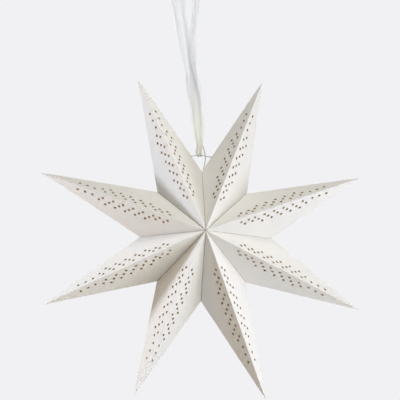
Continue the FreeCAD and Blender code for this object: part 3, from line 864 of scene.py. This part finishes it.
# %% [markdown]
# ## The corners of each ray
#
# A handmade star is never quite regular: here one tip stands a centimetre to the side, and there a notch
# lies deeper. The regular corners come from the driving sizes. Small shifts, in millimetres in the plane of
# the star, bring each corner to where it is on this one. Two neighbours share their notch and all eight
# share the two apexes, so the star stays closed.

# %% Corners
tip_shifts = (
    (-0.1, 1.9), (-9.1, 1.4), (1.8, -5.9), (-3.6, -9.3),
    (-4.0, -1.3), (-0.9, 0.6), (3.9, -6.3), (-2.1, -6.4),
)
tip_forward = (1.4, 0.8, -0.5, 5.0, 1.6, -2.9, -3.4, -3.0)
tip_overreach = 3 * mm
tip_curls = ((-3.2, 0), (0.8, -0.8), (0.8, -1.3), (1, 0), (1, 0), (0, 0), (2, 0), (-3.1, -1.3))
curled_share = 0.13
notch_shifts = (
    (-0.8, 3.7), (-0.7, -1.7), (9.8, -0.8), (-2.2, 0.2),
    (-1.2, -0.3), (1.4, 0.2), (4.1, -2.1), (0.7, -1.8),
)
front_apex_shift = (0.2, 1.8)
half_step = 180 / ray_count


def in_plane(radius, degrees, shift, forward=0.0):
    """A point of the star's plane, by its distance and angle, moved by a shift in millimetres."""
    angle = radians(degrees)
    flat = Vector((radius * cos(angle), 0, radius * sin(angle)))
    return star_middle + flat + Vector((shift[0], -forward, shift[1])) * mm


ray_degrees = [90 + half_step * (1 - 2 * i) for i in range(ray_count)]
tips = [in_plane(tip_radius, ray_degrees[i], tip_shifts[i], tip_forward[i]) for i in range(ray_count)]
notches = [in_plane(notch_radius, ray_degrees[i] - half_step, notch_shifts[i]) for i in range(ray_count)]
front_apex = star_middle + Vector((front_apex_shift[0] * mm, -apex_height, front_apex_shift[1] * mm))
rear_apex = star_middle + Vector((0, apex_height, 0))
sharp_tips = [tip + (tip - star_middle).normalized() * tip_overreach for tip in tips]
print("tips", len(tips), "notches", len(notches))

# %% [markdown]
# ## Folding a ray
#
# The skin of a ray is a cone: every line on it runs straight from the tip to the ring of its four corners,
# the front apex, a notch, the rear apex and the other notch. At that ring the card folds inwards and goes
# on as the glued flange. So a ray is one grid: columns go round the ring, close together at the creases,
# and rows go from the tip, round the valley fold and down the flange. A fold is never sharp in thick card,
# so each crease has a small radius, and each face bows a little.

# %% Grid sizes
crease_reach = 0.8 * mm
crease_support = 1.2 * mm
valley_reach = 1.0 * mm
column_step = 3.0 * mm
row_step = 3.0 * mm
plain_step = 7.0 * mm
punched_share = 0.66
tip_rows = (0.006, 0.014)
plain_from = 0.03
punched_rows = (0.18, 0.86)
flange_rows = 3
bow_limit = 0.9 * mm
thin_tip = 14 * mm
thinnest_share = 0.02
bow_draw = random.Random(11)


def spaced(start, end, step):
    """Even places from start to end, both included, no further apart than a step."""
    count = max(1, ceil((end - start) / step))
    return [start + (end - start) * i / count for i in range(count + 1)]


def side_places(length, ridge_first):
    """Places along one side of the ring, from crease to crease, close together where the holes are."""
    near = crease_reach + crease_support
    punched = spaced(near, length * punched_share, column_step)
    plain = spaced(length * punched_share, length - near, plain_step)[1:]
    places = [crease_reach, *punched, *plain, length - crease_reach]
    return places if ridge_first else [length - place for place in reversed(places)]


def rounded(before, corner, after, share):
    """A point on the soft curve that replaces a corner."""
    rest = 1 - share
    return before * rest**2 + corner * (2 * share * rest) + after * share**2


def inner_ring(corners):
    """The corners of the flange's inner edge, beside the corners of the ring."""
    front, left, rear, right = corners
    middle = (front + rear) / 2
    rise = (front - rear).length / 2
    axis = (front - rear).normalized()
    slope = atan2(rise, ((left - middle).length + (right - middle).length) / 2)
    drop = axis * (flange_width / cos(slope))

    def beside(notch):
        depth = flange_width / sin(atan2(rise, (notch - middle).length))
        return notch + (middle - notch).normalized() * depth

    return [front - drop, beside(left), rear + drop, beside(right)]


# %% Columns and rows
def halvings(number):
    """How many times a number can be halved, up to three times."""
    return next((k for k in range(3) if number % 2 ** (k + 1)), 3)


def ring_columns(corners, inner):
    """Each column as (point on the ring, point on the flange's edge, side, share along the side, rank)."""
    columns = []
    for side in range(4):
        a, b, c = (corners[(side + k) % 4] for k in range(3))
        p, q, r = (inner[(side + k) % 4] for k in range(3))
        length = (b - a).length
        places = side_places(length, ridge_first=side % 2 == 0)
        for number, place in enumerate(places):
            share = place / length
            rank = 1 if number in (0, len(places) - 1) else halvings(number)
            columns.append((a.lerp(b, share), p.lerp(q, share), side, share, rank))
        last_outer, last_inner = columns[-1][:2]
        next_share = crease_reach / (c - b).length
        for turn, rank in ((1 / 3, 3), (2 / 3, 2)):
            outer_point = rounded(last_outer, b, b.lerp(c, next_share), turn)
            inner_point = rounded(last_inner, q, q.lerp(r, next_share), turn)
            columns.append((outer_point, inner_point, side, None, rank))
    return columns


def row_shares(length):
    """Places along a column as shares of its length, close together where the holes are."""
    before = spaced(plain_from, punched_rows[0], plain_step / length)
    punched = spaced(*punched_rows, row_step / length)
    after = spaced(punched_rows[1], 1.0, plain_step / length)
    return [*tip_rows, *before, *punched[1:], *after[1:]]


def face_bow(bows, side, share, along):
    """How far a face stands off its flat plane: nothing at its creases, most in the middle."""
    if share is None:
        return 0.0
    return bows[side] * 4 * share * (1 - share) * 4 * along * (1 - along)


def column_points(tip, curl, column, normals, bows, rows):
    """The points of one column, from beside the tip to the flange's inner edge."""
    ring_point, flange_point, side, share = column[:4]
    reach = valley_reach / (tip - ring_point).length
    points = []
    for row in rows:
        along = row * (1 - reach)
        lift = normals[side] * face_bow(bows, side, share, along)
        bend = curl * max(0.0, 1 - along / curled_share) ** 2
        points.append(tip.lerp(ring_point, along) + lift + bend)
    last = points[-1]
    fold_end = ring_point + (flange_point - ring_point).normalized() * valley_reach
    points += [rounded(last, ring_point, fold_end, turn) for turn in (1 / 3, 2 / 3)]
    return points + [fold_end.lerp(flange_point, i / flange_rows) for i in range(flange_rows + 1)]


# %% Fewer columns towards the tip
# Columns that run together make slivers, and slivers shade badly. So half of the columns stop wherever their
# spacing has halved, and the rows on both sides of such a place are joined like a zip.
thinning_rows = (0.11, 0.24, 0.47)


def kept_columns(columns, row):
    """The columns that are still there at a row, which is given as a share of the way from the tip."""
    level = sum(row < limit for limit in thinning_rows)
    return [i for i, column in enumerate(columns) if column[4] >= level]


def zipped(few, many, few_row, many_row, vertex_at):
    """The faces between two rows that go round, the first of which may have fewer columns."""
    faces = []
    for k, start in enumerate(few):
        end = few[(k + 1) % len(few)]
        first = many.index(start)
        last = many.index(end) + (len(many) if k == len(few) - 1 else 0)
        between = [vertex_at(many[m % len(many)], many_row) for m in range(first, last + 1)]
        left, right = vertex_at(start, few_row), vertex_at(end, few_row)
        if len(between) == 2:
            faces.append((left, between[0], between[1], right))
            continue
        half = len(between) // 2
        faces += [(left, between[m], between[m + 1]) for m in range(half)]
        faces.append((left, between[half], right))
        faces += [(right, between[m], between[m + 1]) for m in range(half, len(between) - 1)]
    return faces


# %% One ray's skin
def ray_skin(name, tip, curl, corners):
    """An open mesh of a ray's outside, with a vertex group that thins the card at the tip."""
    inner = inner_ring(corners)
    columns = ring_columns(corners, inner)
    normals = []
    middle = sum(corners, tip.copy()) / 5
    for side in range(4):
        a, b = corners[side], corners[(side + 1) % 4]
        normal = (a - tip).cross(b - tip).normalized()
        normals.append(normal if normal.dot(a - middle) > 0 else -normal)
    bows = [bow_draw.uniform(-bow_limit, bow_limit) for side in range(4)]
    length = (tip - (corners[0] + corners[2]) / 2).length
    rows = row_shares(length)
    grid = [column_points(tip, curl, column, normals, bows, rows) for column in columns]
    kept = [kept_columns(columns, row) for row in rows]
    kept += [kept[-1]] * (len(grid[0]) - len(rows))
    numbers = {}
    vertices = [tip + curl]
    for row, present in enumerate(kept):
        for column in present:
            numbers[column, row] = len(vertices)
            vertices.append(grid[column][row])
    faces = [(0, numbers[a, 0], numbers[b, 0]) for a, b in zip(kept[0], kept[0][1:] + kept[0][:1])]
    for row in range(len(kept) - 1):
        faces += zipped(kept[row], kept[row + 1], row, row + 1, lambda column, level: numbers[column, level])
    mesh = new_mesh(name, vertices, faces=faces)
    outward = sum(p.normal.dot(p.center - middle) for p in mesh.polygons[:200])
    if outward < 0:
        mesh.flip_normals()
    skin = placed(name, mesh)
    thickness = skin.vertex_groups.new(name="thickness")
    for vertex in mesh.vertices:
        far = (vertex.co - vertices[0]).length / thin_tip
        thickness.add([vertex.index], min(1.0, max(thinnest_share, far)), "REPLACE")
    return skin


def thicken(skin):
    """Gives the skin the card's thickness, inwards, and applies it."""
    solid = skin.modifiers.new("card", "SOLIDIFY")
    solid.thickness = card
    solid.offset = -1
    solid.use_even_offset = True
    solid.vertex_group = "thickness"
    return apply_modifiers(skin)


# %% [markdown]
# ## Punching the holes
#
# Each face has eleven slanted rows of one, two or three holes beside its ridge. A painted pattern would look
# flat, and light wouldn't pass it, so the holes are cut. The hole centres are a small point cloud that knows
# which way its face looks. A Geometry Nodes tree puts a short cylinder on each point, turned square to the
# face, and takes them all out of the card with one Mesh Boolean. The same tree stores how far each point of
# the card is from the nearest hole, for a dark rim and a warm brown halo round each hole: the laser that cut
# the holes left their edges a little toasted, and the rest is painted shade and warm light from inside the
# star, which make the holes read larger. It also stores how far each point is from the seam lines, along
# which shade is painted.

# %% Hole sizes
hole_diameter = 3.5 * mm
hole_line_inset = 8.6 * mm
hole_line_gap = 6.1 * mm
hole_row_slant = 7.4 * mm
hole_row_shares = (
    (0.225, 1), (0.273, 1), (0.321, 1), (0.388, 2), (0.455, 3), (0.519, 3),
    (0.583, 3), (0.647, 3), (0.711, 3), (0.752, 2), (0.802, 2),
)
hole_sides = 16
cutter_length = 7 * mm
tie_height = 142 * mm
tie_hole_diameter = 4 * mm
tie_hole_inset = 1 * mm
tie_hole_length = 14 * mm
inlet_height = 106
inlet_length = 34 * mm


def face_holes(tip, apex, notch):
    """The holes of one face: (centre, the face's normal, how much larger than a plain hole)."""
    ridge = (apex - tip).normalized()
    edge = notch - tip
    across = (edge - ridge * edge.dot(ridge)).normalized()
    normal = ridge.cross(across)
    places = []
    for share, count in hole_row_shares:
        for line in range(count):
            along = share * tip_radius - line * hole_row_slant
            places.append(tip + ridge * along + across * (hole_line_inset + line * hole_line_gap))
    return [(place, normal, (1, 1, 1)) for place in places]


def hole_cloud(name, tip, corners, extra):
    """A point cloud of one ray's hole centres, with the attributes facing and bore."""
    front, left, rear, right = corners
    faces = [(apex, notch) for apex in (front, rear) for notch in (left, right)]
    holes = [hole for apex, notch in faces for hole in face_holes(tip, apex, notch)] + extra
    mesh = new_mesh(name, [hole[0] for hole in holes])
    for index, attribute in ((1, "facing"), (2, "bore")):
        values = mesh.attributes.new(attribute, "FLOAT_VECTOR", "POINT")
        values.data.foreach_set("vector", [c for hole in holes for c in hole[index]])
    return placed(name, mesh)


def seam_lines(name, corners, setbacks):
    """The lines along which a ray is glued to its neighbours: from apex to notch, in front and behind. Shade
    is painted along them.
    """
    front, left, rear, right = corners
    places = []
    for notch, setback in ((left, setbacks[0]), (right, setbacks[1])):
        for apex in (front, rear):
            inwards = (star_middle - apex).normalized() * setback * mm
            places += [apex + inwards, notch + inwards]
    return placed(name, new_mesh(name, places, [(0, 1), (2, 3), (4, 5), (6, 7)]))


def cord_holes(index):
    """The holes for the cords in rays 1 and 2: through the crease for the tie cord, and down the notch."""
    if index > 1:
        return []
    side = 2 * index - 1
    height = star_middle.z + tie_height
    notch, tip = notches[0], tips[index]
    crease_x = notch.x + (tip.x - notch.x) * ((height - notch.z) / (tip.z - notch.z))
    tie_place = Vector((crease_x + side * tie_hole_inset, 0, height))
    wide = tie_hole_diameter / hole_diameter
    return [
        (tie_place, x_axis, (wide, wide, tie_hole_length / cutter_length)),
        (from_middle((0, 0, inlet_height)), z_axis, (1, 1, inlet_length / cutter_length)),
    ]


# %% The perforation tree
def named_vector(tree, name):
    """The value of a vector attribute that the points carry."""
    return node(tree, "GeometryNodeInputNamedAttribute", {"Name": name}, data_type="FLOAT_VECTOR")


def stored_distance(tree, geometry, target, element, name):
    """Stores on each point how far it is from the nearest point or edge of a target."""
    near = node(tree, "GeometryNodeProximity", {0: target}, target_element=element)
    return stored(tree, geometry, name, near.outputs["Distance"])


def perforation_tree():
    tree, given = geometry_tree("Perforations", (
        ("Card", "Geometry"), ("Hole Centres", "Object"), ("Seam Lines", "Object"),
        ("Hole Diameter", "Float", hole_diameter), ("Hole Sides", "Int", hole_sides),
        ("Cutter Length", "Float", cutter_length), ("Card Finish", "Material"),
    ), "Punched Card")
    centres, seams = (
        node(tree, "GeometryNodeObjectInfo", {"Object": given[name]}).outputs["Geometry"]
        for name in ("Hole Centres", "Seam Lines")
    )
    radius = math_node(tree, "DIVIDE", given["Hole Diameter"], 2)
    cutter = node(tree, "GeometryNodeMeshCylinder", {
        "Vertices": given["Hole Sides"], "Radius": radius, "Depth": given["Cutter Length"],
    })
    turn = node(tree, "FunctionNodeAlignRotationToVector", {"Vector": named_vector(tree, "facing")}, axis="Z")
    on_points = node(tree, "GeometryNodeInstanceOnPoints", {
        "Points": centres, "Instance": cutter, "Rotation": turn, "Scale": named_vector(tree, "bore"),
    })
    cutters = node(tree, "GeometryNodeRealizeInstances", {"Geometry": on_points})
    punch = node(
        tree, "GeometryNodeMeshBoolean", {"Mesh 1": given["Card"], "Mesh 2": cutters},
        operation="DIFFERENCE", solver="MANIFOLD",
    )
    by_holes = stored_distance(tree, punch, centres, "POINTS", "hole_distance")
    by_seams = stored_distance(tree, by_holes, seams, "EDGES", "seam_distance")
    return finished_tree(tree, by_seams, given["Card Finish"])


perforations = perforation_tree()

# %% Make the eight rays
# Shade is painted in a brown line along the valley seams. In some valleys it lies at the fold and shows
# there; in others it stays back, by these millimetres.
seam_shade_setbacks = (0.25, 0.35, 1.2, 0.6, 0.1, 0.0, 0.75, 0.0)
crease_angle = radians(24)
for i in range(ray_count):
    ray_name = f"ray_{i + 1}_card"
    ring = [front_apex, notches[i - 1], rear_apex, notches[i]]
    curl = Vector((tip_curls[i][0], 0, tip_curls[i][1])) * mm
    ray = thicken(ray_skin(ray_name, sharp_tips[i], curl, ring))
    cloud = hole_cloud(ray_name + "_holes", tips[i], ring, cord_holes(i))
    seams = seam_lines(ray_name + "_seams", ring, (seam_shade_setbacks[i - 1], seam_shade_setbacks[i]))
    run_tree(ray, perforations, {"Hole Centres": cloud, "Seam Lines": seams, "Card Finish": card_material})
    bpy.data.objects.remove(cloud)
    bpy.data.objects.remove(seams)
    ray.data.shade_smooth()
    ray.data.set_sharp_from_angle(angle=crease_angle)
    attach(ray, "star")
    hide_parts(f"ray_{i + 1}")
    print(ray_name, "faces", len(ray.data.polygons))

# %% [markdown]
# ## The lamp inside
#
# The lamp is seen only through the holes, or when the star is opened. Its pieces keep their CAD shapes, which
# are right, and only get a finish each. Moulded plastic is never quite even, so it has a fine pebble; plated
# metal has short brushed lines; the opal globe lets light through; the cells wear a two-coloured sleeve.

# %% Finishes for the lamp
tone_detail = 4
brush_stretch = (4000, 4000, 300)
brush_contrast, brush_mean = 0.25, 0.12
sleeve_split = 33 * mm


def uneven_surface(tree, colour, second, roughness, scale, depth, metal=0.0, coat=0.0):
    """A Principled surface with a fine unevenness of tone and of height."""
    pattern = object_noise(tree, scale, tone_detail)
    normal = bump(tree, pattern, 0.3, depth)
    return principled(tree, mixed_colour(tree, pattern, colour, second), normal, roughness, metal, coat)


def moulded_material(name, *finish, coat=0.0):
    material, tree = new_material(name)
    return finished(material, uneven_surface(tree, *finish, coat=coat))


def brushed_material(name, colour, second, roughness):
    """Metal with short lines along one way, from a noise that is stretched."""
    material, tree = new_material(name)
    stretched = node(tree, "ShaderNodeMapping", {"Vector": object_place(tree), "Scale": brush_stretch})
    lines = node(tree, "ShaderNodeTexNoise", {"Vector": stretched, "Scale": 1.0})
    lines = math_node(tree, "MULTIPLY", lines, brush_contrast)
    worn = math_node(tree, "ADD", lines, roughness - brush_mean)
    return finished(material, uneven_surface(tree, colour, second, worn, 900.0, 0.00002, metal=1.0))


def opal_material():
    """Milky plastic: glossy outside, and most of the light goes through it scattered."""
    material, tree = new_material("opal globe")
    milk, shade, glow = (0.93, 0.92, 0.89, 1), (0.90, 0.885, 0.85, 1), (0.97, 0.94, 0.88, 1)
    surface = uneven_surface(tree, milk, shade, 0.22, 60.0, 0.00002, coat=0.3)
    return finished(material, with_glow(tree, surface, glow, 0.5))


def sleeve_material():
    """The cells' sleeve: dark lower band and pale upper band, split by height on each cell."""
    material, tree = new_material("cell sleeve")
    above = math_node(tree, "GREATER_THAN", object_height(tree), star_middle.z + sleeve_split)
    colour = mixed_colour(tree, above, (0.10, 0.15, 0.21, 1), (0.62, 0.46, 0.26, 1))
    normal = bump(tree, object_noise(tree, 300.0, tone_detail), 0.3, 0.00001)
    return finished(material, principled(tree, colour, normal, 0.3, coat=0.4))


# %% Give each piece of the lamp its finish
plated = brushed_material("nickel plate", (0.66, 0.655, 0.63, 1), (0.56, 0.55, 0.53, 1), 0.32)
zinc = brushed_material("zinc plate", (0.60, 0.61, 0.62, 1), (0.50, 0.51, 0.53, 1), 0.38)
brass = brushed_material("brass", (0.70, 0.52, 0.24, 1), (0.60, 0.43, 0.19, 1), 0.3)
moulded = {name: moulded_material(name, *finish, coat=coat) for name, *finish, coat in (
    ("white plastic", (0.86, 0.855, 0.83, 1), (0.83, 0.825, 0.80, 1), 0.42, 1400.0, 0.00003, 0.0),
    ("black plastic", (0.035, 0.035, 0.037, 1), (0.05, 0.05, 0.05, 1), 0.5, 1400.0, 0.00004, 0.0),
    ("white board", (0.80, 0.81, 0.79, 1), (0.74, 0.76, 0.73, 1), 0.35, 700.0, 0.00002, 0.2),
    ("yellow phosphor", (0.90, 0.76, 0.22, 1), (0.86, 0.70, 0.18, 1), 0.3, 2500.0, 0.00003, 0.5),
)}
finishes = (
    (moulded["white plastic"], "lamp_cap", "battery_case"), (sleeve_material(), "batteries"),
    (moulded["black plastic"], "battery_carrier", "switch_knob"), (brass, "contact_pins"),
    (plated, "contact_springs", "contact_plates"), (moulded["white board"], "circuit_board"),
    (zinc, "board_screws", "slide_switch"), (moulded["yellow phosphor"], "leds"), (opal_material(), "globe"),
)
for finish, *names in finishes:
    for name in names:
        for slot in bpy.data.objects[name].material_slots:
            slot.material = finish
        print(name, "is", finish.name)

# %% Colour settings
bpy.context.scene.view_settings.view_transform = "Standard"
